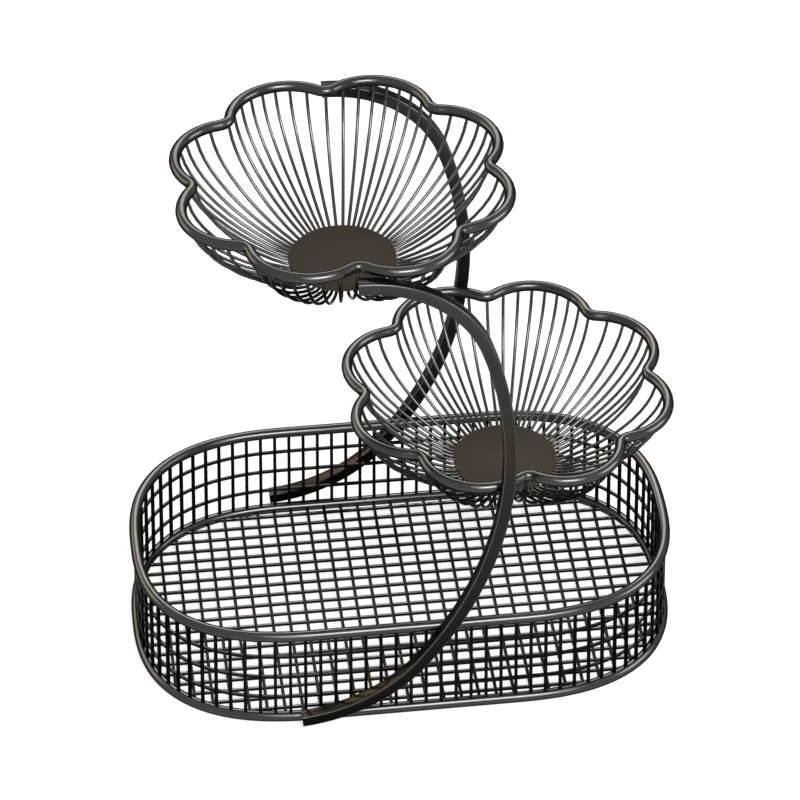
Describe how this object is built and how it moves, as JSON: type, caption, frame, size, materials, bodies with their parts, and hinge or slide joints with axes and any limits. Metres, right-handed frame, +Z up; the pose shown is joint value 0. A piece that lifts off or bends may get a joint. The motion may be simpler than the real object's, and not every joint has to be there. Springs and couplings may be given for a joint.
{
  "type": "tiered wire fruit basket",
  "caption": "Oval wire mesh basket whose curved side bars carry an upper and a lower scalloped wire bowl, one to each side; black painted steel, for fruit.",
  "frame": {"origin": "middle of the overall box, at the level that the bottom ring rests on", "axes": "+X along the basket, towards the side of the lower bowl; +Y across the basket, from the front bar to the rear bar; +Z up"},
  "size_m": [0.4002, 0.257, 0.4024],
  "materials": {
    "black_paint": "satin black powder coat on round steel wire",
    "bar_paint": "satin black powder coat on square steel bar",
    "bowl_paint": "satin black powder coat on thin wire and sheet, slightly warm"
  },
  "bodies": {
    "root": {"basket_bottom_ring": "black_paint", "basket_top_ring": "black_paint", "wall_hoop_low": "black_paint", "wall_hoop_middle": "black_paint", "wall_hoop_high": "black_paint", "floor_long_wire_01": "black_paint", "floor_long_wire_02": "black_paint", "floor_long_wire_03": "black_paint", "floor_long_wire_04": "black_paint", "floor_long_wire_05": "black_paint", "floor_long_wire_06": "black_paint", "floor_long_wire_07": "black_paint", "floor_long_wire_08": "black_paint", "floor_long_wire_09": "black_paint", "floor_long_wire_10": "black_paint", "floor_long_wire_11": "black_paint", "floor_long_wire_12": "black_paint", "floor_long_wire_13": "black_paint", "floor_long_wire_14": "black_paint", "floor_long_wire_15": "black_paint", "floor_long_wire_16": "black_paint", "floor_long_wire_17": "black_paint", "floor_long_wire_18": "black_paint", "floor_long_wire_19": "black_paint", "floor_long_wire_20": "black_paint", "front_bar": "bar_paint", "rear_bar": "bar_paint", "upper_bowl_rim": "black_paint", "upper_bowl_ribs": "bowl_paint", "lower_bowl_rim": "black_paint", "lower_bowl_ribs": "bowl_paint"}
  },
  "joints": []
}
